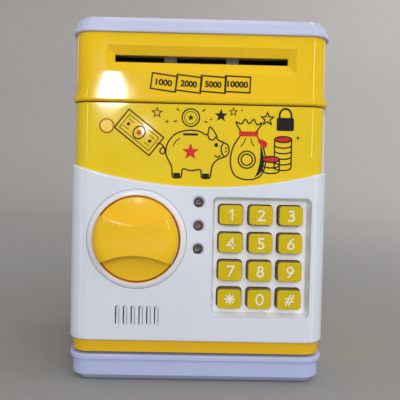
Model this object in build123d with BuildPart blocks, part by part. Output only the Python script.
from build123d import *
import math
import os

# Toy cash-machine savings bank with a swinging safe door, a keypad lock and a motor note feed.
# Millimetres. +Z up, -Y is the front, +X is to the right of somebody facing the front.
# The origin is the middle of the footprint, on the surface that the bank stands on.

# ---------------------------------------------------------------- driving dimensions
total_height = 190.0
case_width = 132.6          # across the walls, without the lips
case_depth = 116.0
corner_radius = 10.0
wall = 2.2
lip = 1.5                   # how far the lips of the lid, bead and base stand out
fit_gap = 0.1               # between parts of one body that nest
swing_gap = 0.5             # between parts that move past each other

base_top = 14.7
base_lip_height = 2.4
base_chamfer = 3.7
foot_height = 0.6
door_bottom = 15.9
door_top = 145.1
bead_bottom = 145.7
bead_height = 3.5
lid_bottom = 181.1
lid_lip_height = 2.6
lid_chamfer = 3.1

plate_proud = 2.0           # white door plate, in front of the yellow door panel
grip_height = 9.0           # knob grip, in front of the white plate
door_depth = 17.5
jamb_width = 6.8            # ledge behind the door's free edge that the bolt catches
jamb_thickness = 1.8
plate_bottom = 22.4
wave_low = 103.2            # top edge of the white plate, at its lowest
wave_ends = 113.7

knob_x, knob_z = -31.6, 75.2
knob_radius = 21.8
bezel_inner, bezel_outer = 22.4, 25.8
grip_waist, grip_end = 14.8, 24.0
knob_swing = 90.0
crank_radius = 4.3
crank_pin_radius = 1.5
latch_travel = 2 * crank_radius * math.sin(math.radians(knob_swing / 2))

pad_x, pad_z = 32.8, 66.6   # centre of the keypad recess
pad_width, pad_height, pad_depth = 51.2, 62.4, 6.2
pad_draft = 11.5
key_pitch_x, key_pitch_z = 15.55, 14.6
key_width, key_height = 12.7, 10.4
key_centre_z = 66.65
key_gap = 0.4
key_sink = 1.0              # key tops below the face of the plate
key_travel = 1.2

led_top_z, led_pitch, led_radius = 94.7, 12.1, 2.5
grille_x, grille_z, grille_pitch = -30.9, 35.5, 4.04
grille_slot = (2.3, 10.4)
grille_count = 6
louvre_gap, louvre_rim = 0.5, 0.22   # open widths left beside each louvre
plug_x, plug_z, plug_radius = -48.2, 133.2, 3.3

slot_z, slot_width, slot_height = 168.2, 90.0, 3.7
mouth_z = slot_z + 0.3      # the slot sits a little high in its bevel
bevel_width, bevel_height, bevel_depth = 98.4, 13.2, 2.6
coin_slot = (32.0, 4.6)
coin_y = 22.0

feed_radius, pinch_radius = 6.8, 4.2
shaft_radius, bore_gap = 1.5, 0.05
gear_module = 0.8
drive_teeth, idler_teeth, pinion_teeth = 24, 28, 12

# ---------------------------------------------------------------- derived places
front_y = -(case_depth + lip - plate_proud - grip_height) / 2
back_y = front_y + case_depth
mid_y = front_y + case_depth / 2
plate_y = front_y - plate_proud
door_back_y = front_y + door_depth
half_width = case_width / 2

hinge_x, hinge_y, hinge_radius = half_width - 1.5, front_y + door_depth - 0.4, 2.4
barrel_bottom, barrel_top = 21.3, 142.1
knuckle_bottom = 16.4
pin_radius = 1.0

pad_floor_y = plate_y + pad_depth
pad_floor = 1.4
liner_front_y, liner_thickness = front_y + 15.3, 2.0
liner_back_y = liner_front_y + liner_thickness
bolt_front_y, bolt_thickness, bolt_height = front_y + 20.9, 3.0, 14.0
jamb_x = -half_width + wall + jamb_width
bolt_tip_x = jamb_x + 0.6
bolt_end_x = -6.5
crank_pin_x = knob_x + latch_travel / 2
crank_pin_z = knob_z + math.sqrt(crank_radius**2 - (latch_travel / 2) ** 2)

deck_bottom, deck_thickness = 146.2, 2.0
deck_top = deck_bottom + deck_thickness
feed_y, feed_z = front_y + 14.5, slot_z + 0.3 - feed_radius
pinch_z = feed_z + feed_radius + 0.3 + pinch_radius
roller_x, roller_length = 16.7, 6.6
side_plate_x, side_plate = 48.5, 3.0
idler_y = feed_y + gear_module * (drive_teeth + pinion_teeth) / 2
motor_y = idler_y + gear_module * (idler_teeth + pinion_teeth) / 2

cell_radius, cell_length, cell_pitch = 7.1, 48.5, 15.2
bay_width, bay_length = 3 * cell_pitch + 1.4, 58.0
bay_y = 14.0
hump_top = 21.6

post_radius, pilot_radius, clear_radius = 3.6, 1.2, 1.6
post_x, post_front_y, post_back_y = 57.0, front_y + 28.5, back_y - 8.5
post_points = [(x, y) for x in (-post_x, post_x) for y in (post_front_y, post_back_y)]
foot_radius, foot_x, foot_front_y, foot_back_y = 6.0, 48.0, front_y + 14.0, back_y - 22.0
foot_points = [(x, y) for x in (-foot_x, foot_x) for y in (foot_front_y, foot_back_y)]
screw_head_radius, screw_head_height = 2.5, 1.0

key_places = [
    (pad_x - 0.3 + (column - 1) * key_pitch_x, key_centre_z + (1.5 - row) * key_pitch_z)
    for row in range(4)
    for column in range(3)
]
led_heights = [led_top_z - row * led_pitch for row in range(3)]


def facing(y):
    """Plane at depth y that looks out of the front: its x is +X and its y is +Z."""
    return Plane.XZ.offset(-y)


def plan(z, grow=0.0):
    """Outline of the case seen from above at height z, grown or shrunk by a margin."""
    with BuildSketch(Plane.XY.offset(z)) as outline:
        with Locations((0, mid_y)):
            RectangleRounded(case_width + 2 * grow, case_depth + 2 * grow, corner_radius + grow)
    return outline.sketch


def disc(y, x, z, radius):
    """Circle at depth y, looking out of the front."""
    with BuildSketch(facing(y)) as outline:
        with Locations((x, z)):
            Circle(radius)
    return outline.sketch


def panel(y, x, z, width, height, radius=0.0):
    """Rectangle at depth y, looking out of the front, with round corners if they have a radius."""
    with BuildSketch(facing(y)) as outline:
        with Locations((x, z)):
            if radius:
                RectangleRounded(width, height, radius)
            else:
                Rectangle(width, height)
    return outline.sketch


def side_disc(x, y, z, radius):
    """Circle at x, looking along +X."""
    with BuildSketch(Plane.YZ.offset(x)) as outline:
        with Locations((y, z)):
            Circle(radius)
    return outline.sketch


def level_disc(z, x, y, radius):
    """Circle at height z, looking up."""
    with BuildSketch(Plane.XY.offset(z)) as outline:
        with Locations((x, y)):
            Circle(radius)
    return outline.sketch


def level_box(z, x_range, y_range, radius=0.0):
    """Rectangle at height z, looking up, between two x and two y values."""
    width, depth = x_range[1] - x_range[0], y_range[1] - y_range[0]
    with BuildSketch(Plane.XY.offset(z)) as outline:
        with Locations(((x_range[0] + x_range[1]) / 2, (y_range[0] + y_range[1]) / 2)):
            if radius:
                RectangleRounded(width, depth, radius)
            else:
                Rectangle(width, depth)
    return outline.sketch


def gear_outline(x, y, z, teeth, turn):
    """Spur gear outline at x, looking along +X, with one tooth pointing at angle turn."""
    pitch_radius = gear_module * teeth / 2
    base_radius = pitch_radius * math.cos(math.radians(20))
    tip_radius = pitch_radius + 0.85 * gear_module
    root_radius = pitch_radius - 1.15 * gear_module
    half_tooth = math.pi / (2 * teeth) - 0.07 / pitch_radius

    def flank_angle(radius):
        """Half the tooth's angle at a radius, from the involute of the base circle."""
        def involute(r):
            pressure = math.acos(min(1.0, base_radius / r))
            return math.tan(pressure) - pressure
        return half_tooth + involute(pitch_radius) - involute(max(radius, base_radius))

    flank = [root_radius, base_radius + 0.1, pitch_radius, tip_radius]
    points = []
    for tooth in range(teeth):
        middle = math.radians(turn) + 2 * math.pi * tooth / teeth
        for side, radii in ((-1, flank), (1, flank[::-1])):
            for radius in radii:
                angle = middle + side * flank_angle(radius)
                points.append((radius * math.cos(angle), radius * math.sin(angle)))
    with BuildSketch(Plane.YZ.offset(x)) as outline:
        with Locations((y, z)):
            Polygon(*points, align=None)
    return outline.sketch


def save(builder, name):
    builder.part.label = name
    export_step(builder.part, f"parts/{name}.step")


os.makedirs("parts", exist_ok=True)

# ---------------------------------------------------------------- lid with its coin slot
lid_step = lid_bottom + lid_lip_height
lid_ceiling = total_height - lid_chamfer - 0.6
rim_depth, rim_width = 3.0, 1.6
with BuildPart() as top_cap:
    extrude(plan(lid_bottom, lip), amount=lid_lip_height)
    lip_edges = top_cap.edges().group_by(Axis.Z)[-1] + top_cap.edges().group_by(Axis.Z)[0]
    fillet(lip_edges, radius=0.7)
    extrude(plan(lid_step), amount=total_height - lid_step)
    chamfer(top_cap.edges().group_by(Axis.Z)[-1], length=lid_chamfer)
    fillet(top_cap.edges().group_by(Axis.Z)[-1], radius=1.2)
    extrude(plan(lid_bottom - rim_depth, -wall - fit_gap), amount=rim_depth)
    extrude(plan(lid_bottom - rim_depth, -wall - rim_width), amount=lid_ceiling - lid_bottom + rim_depth,
            mode=Mode.SUBTRACT)
    with BuildSketch(Plane.XY.offset(total_height)):
        with Locations((0, coin_y)):
            SlotOverall(*coin_slot)
    extrude(amount=-10.0, mode=Mode.SUBTRACT)
save(top_cap, "top_cap")

# ---------------------------------------------------------------- upper housing with its note slot
boss_back_y = front_y + bevel_depth + 2.0
with BuildPart() as upper_housing:
    extrude(plan(bead_bottom), amount=lid_bottom - bead_bottom)
    extrude(plan(bead_bottom, lip), amount=bead_height)
    bead_edges = upper_housing.faces().filter_by(GeomType.PLANE).group_by(Axis.Z)[0].edges()
    fillet(bead_edges, radius=1.3)
    extrude(plan(bead_bottom, -wall), amount=lid_bottom - bead_bottom, mode=Mode.SUBTRACT)
    boss_height = bevel_height + 3.0
    extrude(panel(boss_back_y, 0, slot_z, 101.0, boss_height), amount=boss_back_y - front_y - 0.5)
    with BuildSketch(facing(front_y)):
        with Locations((0, slot_z)):
            Rectangle(bevel_width, bevel_height)
    with BuildSketch(facing(front_y + bevel_depth)):
        with Locations((0, mouth_z)):
            Rectangle(slot_width, slot_height)
    loft(mode=Mode.SUBTRACT)
    extrude(panel(boss_back_y, 0, mouth_z, slot_width, slot_height), amount=10.0, mode=Mode.SUBTRACT)
save(upper_housing, "upper_housing")

# ---------------------------------------------------------------- deck between housing and safe
with BuildPart() as deck_plate:
    extrude(plan(deck_bottom, -wall - fit_gap), amount=deck_thickness)
    note_drop = level_box(deck_bottom, (-46.0, 46.0), (front_y + 23.0, front_y + 46.0), 2.0)
    extrude(note_drop, amount=deck_thickness, mode=Mode.SUBTRACT)
    coin_drop = level_box(deck_bottom, (-17.0, 17.0), (coin_y - 3.2, coin_y + 3.2), 1.0)
    extrude(coin_drop, amount=deck_thickness, mode=Mode.SUBTRACT)
    for x, y in post_points:
        extrude(level_disc(deck_bottom, x, y, clear_radius), amount=deck_thickness, mode=Mode.SUBTRACT)
save(deck_plate, "deck_plate")

with BuildPart() as coin_chute:
    chute_height = lid_ceiling - deck_top - 0.3
    extrude(level_box(deck_top, (-18.6, 18.6), (coin_y - 4.4, coin_y + 4.4), 1.5), amount=chute_height)
    extrude(level_box(deck_top, (-17.0, 17.0), (coin_y - 2.9, coin_y + 2.9)), amount=chute_height,
            mode=Mode.SUBTRACT)
    for tab in ((-24.0, -18.0), (18.0, 24.0)):
        extrude(level_box(deck_top, tab, (coin_y - 4.4, coin_y + 4.4)), amount=1.6)
save(coin_chute, "coin_chute")

# ---------------------------------------------------------------- rear shell of the safe
shell_bottom, shell_top = base_top + 0.05, bead_bottom - 0.05
shell_height = shell_top - shell_bottom
left_edge_y, right_edge_y = door_back_y + swing_gap, hinge_y + hinge_radius + swing_gap
with BuildPart() as rear_shell:
    extrude(plan(shell_bottom), amount=shell_height)
    extrude(plan(shell_bottom, -wall), amount=shell_height, mode=Mode.SUBTRACT)
    extrude(level_box(shell_bottom, (-80.0, 0.0), (front_y - 5, left_edge_y)), amount=shell_height,
            mode=Mode.SUBTRACT)
    extrude(level_box(shell_bottom, (0.0, 80.0), (front_y - 5, right_edge_y)), amount=shell_height,
            mode=Mode.SUBTRACT)
    inner_left = -half_width + wall
    jamb_ys = (left_edge_y, left_edge_y + jamb_thickness)
    extrude(level_box(shell_bottom, (inner_left - 0.5, jamb_x), jamb_ys), amount=shell_height)
    for x, y in post_points:
        extrude(level_disc(shell_bottom, x, y, post_radius), amount=shell_height)
        wall_x = math.copysign(half_width - wall + 0.5, x)
        web = (min(x, wall_x), max(x, wall_x))
        extrude(level_box(shell_bottom, web, (y - 0.9, y + 0.9)), amount=shell_height)
        extrude(level_disc(shell_bottom, x, y, pilot_radius), amount=12.0, mode=Mode.SUBTRACT)
        extrude(level_disc(shell_top, x, y, pilot_radius), amount=-12.0, mode=Mode.SUBTRACT)
    for low, high in ((knuckle_bottom, barrel_bottom - 0.3), (barrel_top + 0.3, shell_top - 0.4)):
        extrude(level_disc(low, hinge_x, hinge_y, hinge_radius), amount=high - low)
        extrude(level_box(low, (hinge_x - 0.4, half_width), (hinge_y, right_edge_y + 0.5)),
                amount=high - low)
        extrude(level_disc(low, hinge_x, hinge_y, pin_radius), amount=high - low, mode=Mode.SUBTRACT)
    with BuildSketch(Plane.XZ.offset(-back_y)):
        with Locations((0, 80.0)):
            RectangleRounded(96.0, 104.0, 6.0)
            RectangleRounded(93.0, 101.0, 4.5, mode=Mode.SUBTRACT)
    extrude(amount=0.7, mode=Mode.SUBTRACT)
save(rear_shell, "rear_shell")

with BuildPart() as hinge_pin:
    pin_bottom, pin_top = knuckle_bottom, shell_top - 0.4
    extrude(level_disc(pin_bottom, hinge_x, hinge_y, pin_radius), amount=pin_top - pin_bottom)
save(hinge_pin, "hinge_pin")

# ---------------------------------------------------------------- base with its battery bay
with BuildPart() as base_cap:
    extrude(plan(foot_height), amount=base_top - foot_height)
    chamfer(base_cap.edges().group_by(Axis.Z)[0], length=base_chamfer - foot_height)
    extrude(plan(base_top - base_lip_height, lip), amount=base_lip_height)
    outer_lip = base_cap.edges().filter_by_position(Axis.Z, base_top - 0.01, base_top + 0.01)
    fillet(outer_lip, radius=0.7)
    extrude(plan(foot_height + 2.4, -wall - 1.4), amount=base_top, mode=Mode.SUBTRACT)
    for x, y in post_points:
        extrude(level_disc(foot_height + 2.0, x, y, post_radius), amount=base_top - foot_height - 2.0)
        extrude(level_disc(foot_height, x, y, clear_radius), amount=base_top, mode=Mode.SUBTRACT)
        extrude(level_disc(foot_height, x, y, 3.0), amount=3.4, mode=Mode.SUBTRACT)
    for x, y in foot_points:
        extrude(level_disc(0, x, y, foot_radius), amount=foot_height + 0.5)
    bay_x, bay_ys = (-bay_width / 2, bay_width / 2), (bay_y - bay_length / 2, bay_y + bay_length / 2)
    rim = 1.6
    extrude(level_box(foot_height, (bay_x[0] - rim, bay_x[1] + rim), (bay_ys[0] - rim, bay_ys[1] + rim)),
            amount=base_top - 2.4 - foot_height)
    extrude(level_box(foot_height, bay_x, bay_ys), amount=base_top, mode=Mode.SUBTRACT)
    for side in (-1, 1):
        ledge_y = bay_y + side * (bay_length / 2 - 1.0)
        extrude(level_box(foot_height + 2.4, bay_x, (ledge_y - 1.0, ledge_y + 1.0)), amount=1.2)
save(base_cap, "base_cap")

with BuildPart() as chamber_floor:
    floor_z = base_top - 2.3
    extrude(plan(floor_z, -wall - 1.5), amount=2.2)
    extrude(level_box(floor_z, (bay_x[0] - rim, bay_x[1] + rim), (bay_ys[0] - rim, bay_ys[1] + rim), 2.0),
            amount=hump_top - floor_z)
    extrude(level_box(floor_z, bay_x, bay_ys), amount=hump_top - 1.6 - floor_z, mode=Mode.SUBTRACT)
    for x, y in post_points:
        extrude(level_disc(floor_z, x, y, post_radius + fit_gap), amount=3.0, mode=Mode.SUBTRACT)
save(chamber_floor, "chamber_floor")

with BuildPart() as battery_cover:
    cover_gap = 0.2
    extrude(level_box(foot_height + 0.1, (bay_x[0] + cover_gap, bay_x[1] - cover_gap),
                      (bay_ys[0] + cover_gap, bay_ys[1] - cover_gap)), amount=2.2)
    for rib in range(6):
        rib_y = bay_ys[0] + 8.0 + 2.4 * rib
        extrude(level_box(foot_height + 0.1, (-9.0, 9.0), (rib_y, rib_y + 1.2)), amount=0.6,
                mode=Mode.SUBTRACT)
    extrude(level_disc(foot_height + 0.1, 0, bay_ys[1] - 6.0, 2.8), amount=1.2, mode=Mode.SUBTRACT)
    extrude(level_disc(foot_height + 0.1, 0, bay_ys[1] - 6.0, 1.4), amount=3.0, mode=Mode.SUBTRACT)
save(battery_cover, "battery_cover")

with BuildPart() as battery_screw:
    screw_y = bay_ys[1] - 6.0
    extrude(level_disc(foot_height + 0.3, 0, screw_y, screw_head_radius), amount=screw_head_height)
    extrude(level_disc(foot_height + 1.3, 0, screw_y, pilot_radius), amount=2.0)
    extrude(level_box(foot_height + 0.3, (-1.7, 1.7), (screw_y - 0.3, screw_y + 0.3)), amount=0.5,
            mode=Mode.SUBTRACT)
    extrude(level_box(foot_height + 0.3, (-0.3, 0.3), (screw_y - 1.7, screw_y + 1.7)), amount=0.5,
            mode=Mode.SUBTRACT)
save(battery_screw, "battery_screw")

cell_z = foot_height + 2.5 + 1.3 + cell_radius
with BuildPart() as battery_cells:
    for column in (-1, 0, 1):
        flip = -1 if column == 0 else 1
        with BuildSketch(Plane((column * cell_pitch, bay_y, cell_z), x_dir=(0, flip, 0), z_dir=(flip, 0, 0))):
            with BuildLine():
                Polyline((-cell_length / 2, 0), (-cell_length / 2, cell_radius - 1.0),
                         (-cell_length / 2 + 0.6, cell_radius), (cell_length / 2 - 1.6, cell_radius),
                         (cell_length / 2 - 1.0, cell_radius - 1.0), (cell_length / 2 - 1.0, 2.75),
                         (cell_length / 2, 2.6), (cell_length / 2, 0), close=True)
            make_face()
        revolve(axis=Axis((column * cell_pitch, bay_y, cell_z), (0, 1, 0)))
save(battery_cells, "battery_cells")

with BuildPart() as battery_contacts:
    for column in (-1, 0, 1):
        for side in (-1, 1):
            contact_y = bay_y + side * (bay_length / 2 - 0.4)
            flat = panel(contact_y + 0.3, column * cell_pitch, cell_z, 11.0, 11.0, 1.5)
            extrude(flat, amount=0.6)
            bow_length = (bay_length - cell_length) / 2 - 0.75
            start_y = contact_y - side * 0.3
            extrude(disc(start_y, column * cell_pitch, cell_z, 2.4), amount=side * bow_length)
            extrude(disc(start_y, column * cell_pitch, cell_z, 1.9), amount=side * bow_length,
                    mode=Mode.SUBTRACT)
save(battery_contacts, "battery_contacts")


def screw_group(name, points, head_z, reach, upward):
    """Round-head screws at points: the head's outer face at head_z, the shank going up or down."""
    way = 1 if upward else -1
    with BuildPart() as group:
        for x, y in points:
            extrude(level_disc(head_z, x, y, screw_head_radius), amount=way * 1.6)
            extrude(level_disc(head_z, x, y, pilot_radius), amount=way * reach)
            for slot_x, slot_y in ((1.6, 0.3), (0.3, 1.6)):
                extrude(level_box(head_z, (x - slot_x, x + slot_x), (y - slot_y, y + slot_y)),
                        amount=way * 0.7, mode=Mode.SUBTRACT)
    save(group, name)


screw_group("base_screws", post_points, foot_height + 3.4 - 1.6, 18.0, True)
screw_group("deck_screws", post_points, deck_top + 1.6, 10.0, False)

# ---------------------------------------------------------------- yellow door panel
door_height = door_top - door_bottom
with BuildPart() as door_panel:
    extrude(plan(door_bottom), amount=door_height)
    extrude(plan(door_bottom + wall, -wall), amount=door_height - 2 * wall, mode=Mode.SUBTRACT)
    extrude(level_box(door_bottom, (-80, 80), (door_back_y, back_y + 5)), amount=door_height,
            mode=Mode.SUBTRACT)
    rail_y = front_y + 6.9
    extrude(level_box(door_bottom, (half_width - wall - 0.9, 80.0), (rail_y, door_back_y)),
            amount=door_height, mode=Mode.SUBTRACT)
    extrude(level_box(door_bottom, (hinge_x - 3.6, 80.0), (hinge_y - 4.0, door_back_y)),
            amount=door_height, mode=Mode.SUBTRACT)
    extrude(panel(front_y, pad_x, pad_z, pad_width + 3.4, pad_height + 3.4, 3.5), amount=-6.0,
            mode=Mode.SUBTRACT)
    extrude(disc(front_y, knob_x, knob_z, bezel_outer - 1.0), amount=-6.0, mode=Mode.SUBTRACT)
    for led_z in led_heights:
        extrude(disc(front_y, 0, led_z, led_radius + fit_gap), amount=-6.0, mode=Mode.SUBTRACT)
    extrude(panel(front_y, grille_x, grille_z, 25.0, 12.6, 1.5), amount=-6.0, mode=Mode.SUBTRACT)
    extrude(disc(front_y, plug_x, plug_z, plug_radius + 0.35), amount=-0.8, mode=Mode.SUBTRACT)
    extrude(disc(front_y, plug_x, plug_z, 2.2), amount=-6.0, mode=Mode.SUBTRACT)
save(door_panel, "door_panel")

# ---------------------------------------------------------------- white door plate
pad_walls = 1.4
with BuildPart() as front_plate:
    with BuildSketch(Plane.XY.offset(plate_bottom)):
        with Locations((0, mid_y - plate_proud / 2)):
            RectangleRounded(case_width + 2 * lip, case_depth + plate_proud, corner_radius + lip)
        with Locations((0, mid_y)):
            RectangleRounded(case_width, case_depth, corner_radius, mode=Mode.SUBTRACT)
        with Locations((0, rail_y - 0.1 + 75.0)):
            Rectangle(200.0, 150.0, mode=Mode.SUBTRACT)
    extrude(amount=wave_ends + 5.0 - plate_bottom)
    with BuildSketch(facing(plate_y - 5.0)):
        edge_x = half_width + lip + 2.0
        with BuildLine():
            Spline((-edge_x, wave_ends + 0.7), (-28.0, wave_low + 1.55), (28.0, wave_low + 0.9),
                   (edge_x, wave_ends - 0.9))
            Polyline((edge_x, wave_ends - 0.9), (edge_x, plate_bottom), (-edge_x, plate_bottom),
                     (-edge_x, wave_ends + 0.7))
        make_face()
    extrude(amount=-40.0, mode=Mode.INTERSECT)
    front_face = front_plate.faces().filter_by(Axis.Y).sort_by(Axis.Y)[0]
    fillet(front_face.outer_wire().edges(), radius=0.9)
    extrude(panel(pad_floor_y + pad_floor, pad_x, pad_z, pad_width + 2 * pad_walls,
                  pad_height + 2 * pad_walls, 3.2), amount=pad_depth + pad_floor - 0.5)
    extrude(panel(plate_y, pad_x, pad_z, pad_width, pad_height, 3.0), amount=-pad_depth,
            taper=pad_draft, mode=Mode.SUBTRACT)
    for x, z in key_places:
        extrude(panel(pad_floor_y + 5.0, x, z, key_width + 2 * key_gap, key_height + 2 * key_gap, 2.2),
                amount=7.0, mode=Mode.SUBTRACT)
    extrude(disc(plate_y, knob_x, knob_z, bezel_outer), amount=-5.0, mode=Mode.SUBTRACT)
    for led_z in led_heights:
        with BuildSketch(facing(plate_y)):
            with Locations((0, led_z)):
                Circle(led_radius + 1.1)
        with BuildSketch(facing(plate_y + 1.0)):
            with Locations((0, led_z)):
                Circle(led_radius + fit_gap)
        loft(mode=Mode.SUBTRACT)
        extrude(disc(plate_y, 0, led_z, led_radius + fit_gap), amount=-5.0, mode=Mode.SUBTRACT)
    with BuildSketch(facing(plate_y)):
        with Locations((grille_x, grille_z)):
            with GridLocations(grille_pitch, 1, grille_count, 1):
                SlotOverall(grille_slot[1], grille_slot[0], rotation=90)
    extrude(amount=-5.0, mode=Mode.SUBTRACT)
    with BuildSketch(Plane.XY.offset(grille_z - grille_slot[1] / 2)):
        for index in range(grille_count):
            slot_x = grille_x + (index - (grille_count - 1) / 2) * grille_pitch
            low_x = slot_x - grille_slot[0] / 2 + louvre_gap
            high_x = slot_x + grille_slot[0] / 2 - louvre_rim
            Polygon((high_x, plate_y + 0.3), (low_x, plate_y + 1.5), (low_x, plate_y + 1.9),
                    (high_x, plate_y + 1.9), align=None)
    extrude(amount=grille_slot[1])
save(front_plate, "front_plate")

with BuildPart() as hinge_rail:
    rail_x, rail_proud = half_width - 1.3, 0.35
    extrude(level_box(barrel_bottom, (rail_x, half_width + rail_proud), (rail_y + 0.1, hinge_y)),
            amount=barrel_top - barrel_bottom)
    outer_edge = hinge_rail.edges().filter_by(Axis.Z).group_by(Axis.Y)[0].sort_by(Axis.X)[-1]
    fillet(outer_edge, radius=0.8)
    extrude(level_disc(barrel_bottom, hinge_x, hinge_y, hinge_radius), amount=barrel_top - barrel_bottom)
    extrude(level_disc(barrel_bottom, hinge_x, hinge_y, pin_radius + bore_gap),
            amount=barrel_top - barrel_bottom, mode=Mode.SUBTRACT)
save(hinge_rail, "hinge_rail")

with BuildPart() as blanking_plug:
    extrude(disc(front_y + 0.8, plug_x, plug_z, plug_radius), amount=1.1)
    fillet(blanking_plug.edges().group_by(Axis.Y)[0], radius=0.3)
    extrude(disc(front_y + 4.2, plug_x, plug_z, 2.15), amount=3.4)
    extrude(disc(front_y + 3.4, plug_x, plug_z, 2.7), amount=0.9)
save(blanking_plug, "blanking_plug")

# ---------------------------------------------------------------- lock knob and its bezel
with BuildPart() as knob_bezel:
    with BuildSketch(Plane.YZ.offset(knob_x)):
        with BuildLine():
            Polyline((front_y, knob_z + bezel_inner), (plate_y - 0.7, knob_z + bezel_inner),
                     (plate_y - 0.9, knob_z + bezel_inner + 0.5))
            ThreePointArc((plate_y - 0.9, knob_z + bezel_inner + 0.5),
                          (plate_y - 0.65, knob_z + bezel_inner + 2.0),
                          (plate_y + 0.25, knob_z + bezel_outer - 0.12))
            Polyline((plate_y + 0.25, knob_z + bezel_outer - 0.12), (front_y, knob_z + bezel_outer - 0.12),
                     (front_y, knob_z + bezel_inner))
        make_face()
    revolve(axis=Axis((knob_x, 0, knob_z), (0, 1, 0)))
save(knob_bezel, "knob_bezel")

disc_face_y = plate_y - 0.5
grip_y = plate_y - grip_height
waist_rise = (grip_end - grip_waist) / 2
waist_arc = (knob_radius**2 - (grip_end / 2) ** 2 + waist_rise**2) / (2 * waist_rise)
with BuildPart() as lock_knob:
    with BuildSketch(facing(disc_face_y + 12.0)):
        with Locations((knob_x, knob_z)):
            Circle(knob_radius)
            with Locations((0, grip_waist / 2 + waist_arc), (0, -grip_waist / 2 - waist_arc)):
                Circle(waist_arc, mode=Mode.SUBTRACT)
    extrude(amount=40.0)
    with BuildSketch(Plane.YZ.offset(knob_x)):
        with BuildLine():
            Line((disc_face_y + 0.5, knob_z), (grip_y, knob_z))
            Spline((grip_y, knob_z), (grip_y + 0.35, knob_z + 14.0), (grip_y + 1.5, knob_z + 19.2),
                   (grip_y + 5.0, knob_z + knob_radius), tangents=((0, 1), (1, 0.12)))
            Polyline((grip_y + 5.0, knob_z + knob_radius), (disc_face_y + 0.5, knob_z + knob_radius),
                     (disc_face_y + 0.5, knob_z))
        make_face()
    revolve(axis=Axis((knob_x, 0, knob_z), (0, 1, 0)), mode=Mode.INTERSECT)
    with BuildSketch(Plane.YZ.offset(knob_x)):
        with BuildLine():
            Line((front_y + 1.6, knob_z), (disc_face_y - 1.1, knob_z))
            ThreePointArc((disc_face_y - 1.1, knob_z), (disc_face_y - 0.85, knob_z + 11.0),
                          (disc_face_y, knob_z + knob_radius - 0.4))
            Polyline((disc_face_y, knob_z + knob_radius - 0.4), (disc_face_y + 0.4, knob_z + knob_radius),
                     (front_y + 1.6, knob_z + knob_radius), (front_y + 1.6, knob_z))
        make_face()
    revolve(axis=Axis((knob_x, 0, knob_z), (0, 1, 0)))
    extrude(disc(front_y + 1.6, knob_x, knob_z, 5.0), amount=-(liner_back_y - front_y - 1.6))
    extrude(disc(liner_back_y, knob_x, knob_z, pilot_radius), amount=10.0, mode=Mode.SUBTRACT)
save(lock_knob, "lock_knob")

with BuildPart() as knob_crank:
    crank_front_y, crank_back_y = liner_back_y + 0.2, bolt_front_y - 0.3
    extrude(disc(crank_back_y, knob_x, knob_z, 8.0), amount=crank_back_y - crank_front_y)
    extrude(disc(liner_back_y + 0.5, knob_x, knob_z, 4.8), amount=0.5)
    pin_back_y = bolt_front_y + bolt_thickness + 0.5
    extrude(disc(pin_back_y, crank_pin_x, crank_pin_z, crank_pin_radius), amount=pin_back_y - crank_back_y)
    extrude(disc(crank_back_y, knob_x, knob_z, pilot_radius), amount=6.0, mode=Mode.SUBTRACT)
    extrude(disc(crank_back_y, knob_x, knob_z, 2.6), amount=0.9, mode=Mode.SUBTRACT)
save(knob_crank, "knob_crank")

with BuildPart() as knob_screw:
    extrude(disc(crank_back_y, knob_x, knob_z, screw_head_radius), amount=0.9)
    extrude(disc(crank_back_y, knob_x, knob_z, pilot_radius), amount=10.0)
save(knob_screw, "knob_screw")

# ---------------------------------------------------------------- latch bolt, guides and lock
plunger_x, plunger_radius, plunger_travel = -20.0, 2.0, 2.5
bolt_mid_x, bolt_length = (bolt_tip_x + bolt_end_x) / 2, bolt_end_x - bolt_tip_x
bolt_back_y = bolt_front_y + bolt_thickness
bolt_top_z = knob_z + bolt_height / 2
with BuildPart() as latch_bolt:
    extrude(panel(bolt_back_y, bolt_mid_x, knob_z, bolt_length, bolt_height), amount=bolt_thickness)
    tip_edge = latch_bolt.edges().filter_by(Axis.Z).group_by(Axis.X)[0].sort_by(Axis.Y)[0]
    chamfer(tip_edge, length=1.2)
    slot_clear = 0.3
    slot_length = 2 * (crank_radius + crank_pin_radius + 0.6)
    with BuildSketch(facing(bolt_back_y)):
        with Locations((crank_pin_x, knob_z + 1.0)):
            SlotOverall(slot_length, 2 * (crank_pin_radius + slot_clear), rotation=90)
    extrude(amount=bolt_thickness, mode=Mode.SUBTRACT)
    for notch_x in (plunger_x, plunger_x + latch_travel):
        notch = panel(bolt_back_y, notch_x, bolt_top_z, 2 * plunger_radius + 0.7, 2 * 3.2)
        extrude(notch, amount=bolt_thickness, mode=Mode.SUBTRACT)
save(latch_bolt, "latch_bolt")

with BuildPart() as bolt_guides:
    clear = 0.25
    for x in (-49.0, -9.5):
        guide = panel(bolt_back_y + clear + 1.4, x, knob_z, 4.0, bolt_height + 2 * clear + 4.0)
        extrude(guide, amount=bolt_back_y + clear + 1.4 - liner_back_y)
        tunnel = panel(bolt_back_y + clear, x, knob_z, 4.0, bolt_height + 2 * clear)
        extrude(tunnel, amount=bolt_back_y + clear - liner_back_y - 0.8, mode=Mode.SUBTRACT)
save(bolt_guides, "bolt_guides")

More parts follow.
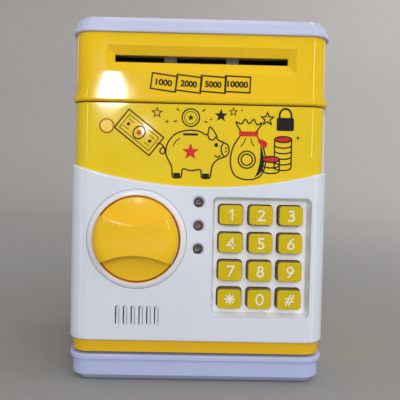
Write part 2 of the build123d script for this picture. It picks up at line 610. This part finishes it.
with BuildPart() as lock_coil:
    coil_low, coil_high = bolt_top_z + 2.2, bolt_top_z + 18.0
    coil_y = bolt_front_y + bolt_thickness / 2
    coil_x = (plunger_x - 6.5, plunger_x + 6.5)
    coil_depth = (liner_back_y, coil_y + 5.5)
    extrude(level_box(coil_low, coil_x, coil_depth), amount=1.2)
    extrude(level_box(coil_high - 1.2, coil_x, coil_depth), amount=1.2)
    extrude(level_box(coil_low, coil_x, (liner_back_y, liner_back_y + 1.2)), amount=coil_high - coil_low)
    extrude(level_disc(coil_low + 1.2, plunger_x, coil_y, 4.4), amount=coil_high - coil_low - 2.4)
    extrude(level_disc(coil_low, plunger_x, coil_y, plunger_radius + bore_gap), amount=coil_high,
            mode=Mode.SUBTRACT)
save(lock_coil, "lock_coil")

with BuildPart() as lock_plunger:
    plunger_low = bolt_top_z + 0.5
    extrude(level_disc(plunger_low, plunger_x, coil_y, plunger_radius), amount=coil_high + 5.0 - plunger_low)
    chamfer(lock_plunger.edges().group_by(Axis.Z)[0], length=0.5)
    extrude(level_disc(coil_high + 4.0, plunger_x, coil_y, 3.4), amount=1.4)
save(lock_plunger, "lock_plunger")

# ---------------------------------------------------------------- keypad
key_names = ["1", "2", "3", "4", "5", "6", "7", "8", "9", "star", "0", "hash"]
key_top_y = plate_y + key_sink
flange_y = pad_floor_y + pad_floor + 0.2
for key_name, (x, z) in zip(key_names, key_places):
    with BuildPart() as key:
        extrude(panel(flange_y, x, z, key_width, key_height, 2.0), amount=flange_y - key_top_y, taper=2.2)
        fillet(key.edges().group_by(Axis.Y)[0], radius=0.25)
        extrude(panel(flange_y + 1.2, x, z, key_width + 2.2, key_height + 2.2, 2.4), amount=1.2)
    save(key, f"key_{key_name}")

with BuildPart() as keypad_mat:
    mat_y = flange_y + 1.2 + key_travel + 0.3
    extrude(panel(mat_y + 1.0, pad_x, key_centre_z, pad_width + 1.0, pad_height - 1.0, 2.0), amount=1.0)
save(keypad_mat, "keypad_mat")

with BuildPart() as keypad_board:
    board_y = mat_y + 1.0
    extrude(panel(board_y + 1.4, pad_x, key_centre_z, pad_width + 3.0, pad_height + 1.0, 1.0), amount=1.4)
    for side_x in (-1, 1):
        for side_z in (-1, 1):
            hole_x = pad_x + side_x * (pad_width / 2 - 0.6)
            hole_z = key_centre_z + side_z * (pad_height / 2 - 1.6)
            extrude(disc(board_y + 1.4, hole_x, hole_z, 0.9), amount=1.4, mode=Mode.SUBTRACT)
save(keypad_board, "keypad_board")

with BuildPart() as status_leds:
    for led_z in led_heights:
        extrude(disc(front_y + 6.0, 0, led_z, led_radius), amount=front_y + 6.0 - plate_y + 0.5)
        extrude(disc(front_y + 6.0, 0, led_z, led_radius + 0.4), amount=1.0)
    fillet(status_leds.edges().group_by(Axis.Y)[0], radius=led_radius - 0.3)
save(status_leds, "status_leds")

with BuildPart() as led_board:
    extrude(panel(front_y + 7.4, 0, led_heights[1], 7.6, 34.0, 1.0), amount=1.4)
save(led_board, "led_board")

# ---------------------------------------------------------------- speaker
with BuildPart() as speaker_frame:
    speaker_y = front_y + wall + 0.1
    with BuildSketch(Plane.YZ.offset(grille_x)):
        with BuildLine():
            Polyline((speaker_y, grille_z + 14.0), (speaker_y + 1.4, grille_z + 14.0),
                     (speaker_y + 2.6, grille_z + 13.0), (speaker_y + 5.0, grille_z + 8.4),
                     (speaker_y + 9.5, grille_z + 8.4), (speaker_y + 9.5, grille_z),
                     (speaker_y + 6.4, grille_z), (speaker_y + 6.4, grille_z + 3.4),
                     (speaker_y + 4.2, grille_z + 7.2), (speaker_y + 1.6, grille_z + 11.8),
                     (speaker_y, grille_z + 11.8), close=True)
        make_face()
    revolve(axis=Axis((grille_x, 0, grille_z), (0, 1, 0)))
save(speaker_frame, "speaker_frame")

with BuildPart() as speaker_cone:
    with BuildSketch(Plane.YZ.offset(grille_x)):
        with BuildLine():
            Polyline((speaker_y + 0.3, grille_z + 11.7), (speaker_y + 0.9, grille_z + 11.7),
                     (speaker_y + 4.6, grille_z + 3.2), (speaker_y + 3.4, grille_z),
                     (speaker_y + 2.8, grille_z), (speaker_y + 3.9, grille_z + 3.2), close=True)
        make_face()
    revolve(axis=Axis((grille_x, 0, grille_z), (0, 1, 0)))
save(speaker_cone, "speaker_cone")

# ---------------------------------------------------------------- liner that closes the door
liner_low, liner_high = door_bottom + wall + 0.2, door_top - wall - 0.2
liner_left, liner_right = -half_width + wall + 0.3, half_width - wall - 2.0
liner_points = [(x, z) for x in (-52.0, 0.0, 52.0) for z in (25.5, 138.0)]
with BuildPart() as door_liner:
    liner_x, liner_width = (liner_left + liner_right) / 2, liner_right - liner_left
    liner_z, liner_height = (liner_low + liner_high) / 2, liner_high - liner_low
    extrude(panel(liner_back_y, liner_x, liner_z, liner_width, liner_height, 2.0), amount=liner_thickness)
    for x, z in liner_points:
        extrude(disc(liner_front_y, x, z, 3.2), amount=liner_front_y - front_y - wall)
        extrude(disc(liner_back_y, x, z, pilot_radius), amount=10.0, mode=Mode.SUBTRACT)
        extrude(disc(liner_back_y, x, z, 2.7), amount=1.0, mode=Mode.SUBTRACT)
    extrude(disc(liner_back_y, knob_x, knob_z, 5.0 + bore_gap), amount=liner_thickness, mode=Mode.SUBTRACT)
    with BuildSketch(facing(liner_back_y)):
        with Locations((30.0, 118.0)):
            with GridLocations(1, 5.0, 1, 5):
                SlotOverall(34.0, 2.2)
    extrude(amount=0.6, mode=Mode.SUBTRACT)
save(door_liner, "door_liner")

with BuildPart() as liner_screws:
    for x, z in liner_points:
        extrude(disc(liner_back_y, x, z, screw_head_radius), amount=screw_head_height)
        extrude(disc(liner_back_y, x, z, pilot_radius), amount=9.0)
        for width, height in ((3.2, 0.6), (0.6, 3.2)):
            extrude(panel(liner_back_y, x, z, width, height), amount=0.5, mode=Mode.SUBTRACT)
save(liner_screws, "liner_screws")

# ---------------------------------------------------------------- note feed in the upper housing
frame_top = pinch_z + 5.0
plate_ys = (front_y + 7.0, feed_y + 8.0)
motor_back_y = motor_y + 11.5
with BuildPart() as feed_frame:
    floor_thickness = 1.6
    extrude(level_box(deck_top, (-side_plate_x - side_plate, side_plate_x + side_plate),
                      (front_y + 7.0, front_y + 12.0)), amount=floor_thickness)
    extrude(level_box(deck_top, (-side_plate_x - side_plate, -side_plate_x), plate_ys),
            amount=frame_top - deck_top)
    extrude(level_box(deck_top, (side_plate_x, side_plate_x + side_plate), plate_ys),
            amount=frame_top - deck_top)
    extrude(level_box(deck_top, (side_plate_x, side_plate_x + side_plate), (feed_y, motor_back_y)),
            amount=feed_z + 12.0 - deck_top)
    for x in (-side_plate_x - side_plate, side_plate_x):
        extrude(side_disc(x, feed_y, feed_z, shaft_radius + bore_gap), amount=side_plate, mode=Mode.SUBTRACT)
        extrude(side_disc(x, feed_y, pinch_z, shaft_radius + bore_gap), amount=side_plate, mode=Mode.SUBTRACT)
    extrude(side_disc(side_plate_x, idler_y, feed_z, shaft_radius), amount=side_plate, mode=Mode.SUBTRACT)
    extrude(side_disc(side_plate_x, motor_y, feed_z, 3.0), amount=side_plate, mode=Mode.SUBTRACT)
save(feed_frame, "feed_frame")

with BuildPart() as drive_shaft:
    shaft_start, shaft_end = -side_plate_x - side_plate - 1.5, 56.4
    extrude(side_disc(shaft_start, feed_y, feed_z, shaft_radius), amount=shaft_end - shaft_start)
    chamfer(drive_shaft.edges().group_by(Axis.X)[0], length=0.3)
save(drive_shaft, "drive_shaft")

with BuildPart() as feed_rollers:
    for centre in (-roller_x, roller_x):
        start = centre - roller_length / 2
        with BuildSketch(Plane.XZ.offset(-feed_y)):
            with BuildLine():
                Polyline((start, feed_z + shaft_radius), (start, feed_z + feed_radius - 0.4),
                         (start + 0.4, feed_z + feed_radius),
                         (start + roller_length - 0.4, feed_z + feed_radius),
                         (start + roller_length, feed_z + feed_radius - 0.4),
                         (start + roller_length, feed_z + shaft_radius), close=True)
            make_face()
        revolve(axis=Axis((0, feed_y, feed_z), (1, 0, 0)))
save(feed_rollers, "feed_rollers")

gear_start = side_plate_x + side_plate + 0.6
with BuildPart() as drive_gear:
    extrude(gear_outline(gear_start, feed_y, feed_z, drive_teeth, 0.0), amount=4.2)
    extrude(side_disc(gear_start, feed_y, feed_z, shaft_radius), amount=4.2, mode=Mode.SUBTRACT)
    with BuildSketch(Plane.YZ.offset(gear_start)):
        with Locations((feed_y, feed_z)):
            with PolarLocations(5.2, 4, start_angle=45):
                Circle(1.7)
    extrude(amount=4.2, mode=Mode.SUBTRACT)
save(drive_gear, "drive_gear")

idler_phase = 180.0 / pinion_teeth
with BuildPart() as idler_gear:
    extrude(gear_outline(gear_start, idler_y, feed_z, pinion_teeth, 180.0 + idler_phase), amount=4.6)
    extrude(gear_outline(gear_start + 4.6, idler_y, feed_z, idler_teeth, 0.0), amount=3.0)
    extrude(side_disc(gear_start, idler_y, feed_z, shaft_radius + bore_gap), amount=7.6, mode=Mode.SUBTRACT)
save(idler_gear, "idler_gear")

with BuildPart() as idler_axle:
    extrude(side_disc(side_plate_x, idler_y, feed_z, shaft_radius), amount=side_plate + 9.0)
save(idler_axle, "idler_axle")

with BuildPart() as motor_pinion:
    extrude(gear_outline(gear_start + 4.8, motor_y, feed_z, pinion_teeth, 180.0 + idler_phase), amount=2.8)
    extrude(side_disc(side_plate_x - 0.5, motor_y, feed_z, 1.0), amount=gear_start + 4.8 - side_plate_x + 0.5)
save(motor_pinion, "motor_pinion")

with BuildPart() as feed_motor:
    motor_length = 25.0
    extrude(side_disc(side_plate_x - motor_length, motor_y, feed_z, 10.0), amount=motor_length)
    flats = level_box(feed_z - 12.0, (side_plate_x - motor_length - 5, side_plate_x),
                      (motor_y - 7.6, motor_y + 7.6))
    extrude(flats, amount=24.0, mode=Mode.INTERSECT)
    extrude(side_disc(side_plate_x - motor_length, motor_y, feed_z, 2.6), amount=-2.0)
    extrude(side_disc(side_plate_x - 1.0, motor_y, feed_z, 1.3), amount=1.0, mode=Mode.SUBTRACT)
save(feed_motor, "feed_motor")

with BuildPart() as pinch_shaft:
    pinch_end = side_plate_x + side_plate + 0.3
    extrude(side_disc(shaft_start, feed_y, pinch_z, shaft_radius), amount=pinch_end - shaft_start)
save(pinch_shaft, "pinch_shaft")

with BuildPart() as pinch_rollers:
    for centre in (-roller_x, roller_x):
        start = centre - roller_length / 2
        extrude(side_disc(start, feed_y, pinch_z, pinch_radius), amount=roller_length)
        extrude(side_disc(start, feed_y, pinch_z, shaft_radius), amount=roller_length, mode=Mode.SUBTRACT)
save(pinch_rollers, "pinch_rollers")

with BuildPart() as note_sensor:
    extrude(level_box(deck_top + floor_thickness, (-4.0, 4.0), (front_y + 7.2, front_y + 11.0)),
            amount=slot_z - 3.0 - deck_top - floor_thickness)
    extrude(level_disc(slot_z - 3.0, -1.8, front_y + 9.0, 0.9), amount=0.8)
    extrude(level_disc(slot_z - 3.0, 1.8, front_y + 9.0, 0.9), amount=0.8)
save(note_sensor, "note_sensor")

# ---------------------------------------------------------------- control board
board_z, board_thickness = deck_top + 4.0, 1.6
board_x, board_ys = (-58.0, 8.0), (coin_y + 6.5, back_y - wall - 2.5)
with BuildPart() as main_board:
    extrude(level_box(board_z, board_x, board_ys), amount=board_thickness)
    standoffs = [(board_x[0] + 4, board_ys[0] + 4), (board_x[1] - 4, board_ys[0] + 4),
                 (board_x[1] - 4, board_ys[1] - 4)]
    for x, y in standoffs:
        extrude(level_disc(deck_top, x, y, 2.2), amount=board_z - deck_top)
save(main_board, "main_board")

with BuildPart() as board_chips:
    top = board_z + board_thickness
    extrude(level_box(top, (-40.0, -22.0), (board_ys[0] + 8, board_ys[0] + 15)), amount=2.4)
    extrude(level_box(top, (-14.0, -8.0), (board_ys[0] + 10, board_ys[0] + 14)), amount=1.6)
    extrude(level_disc(top, -2.0, board_ys[0] + 15, 3.2), amount=9.0)
    extrude(level_disc(top, -50.0, board_ys[0] + 14, 2.6), amount=7.0)
    extrude(level_box(top, (-34.0, -20.0), (board_ys[1] - 6, board_ys[1] - 1)), amount=5.0)
save(board_chips, "board_chips")
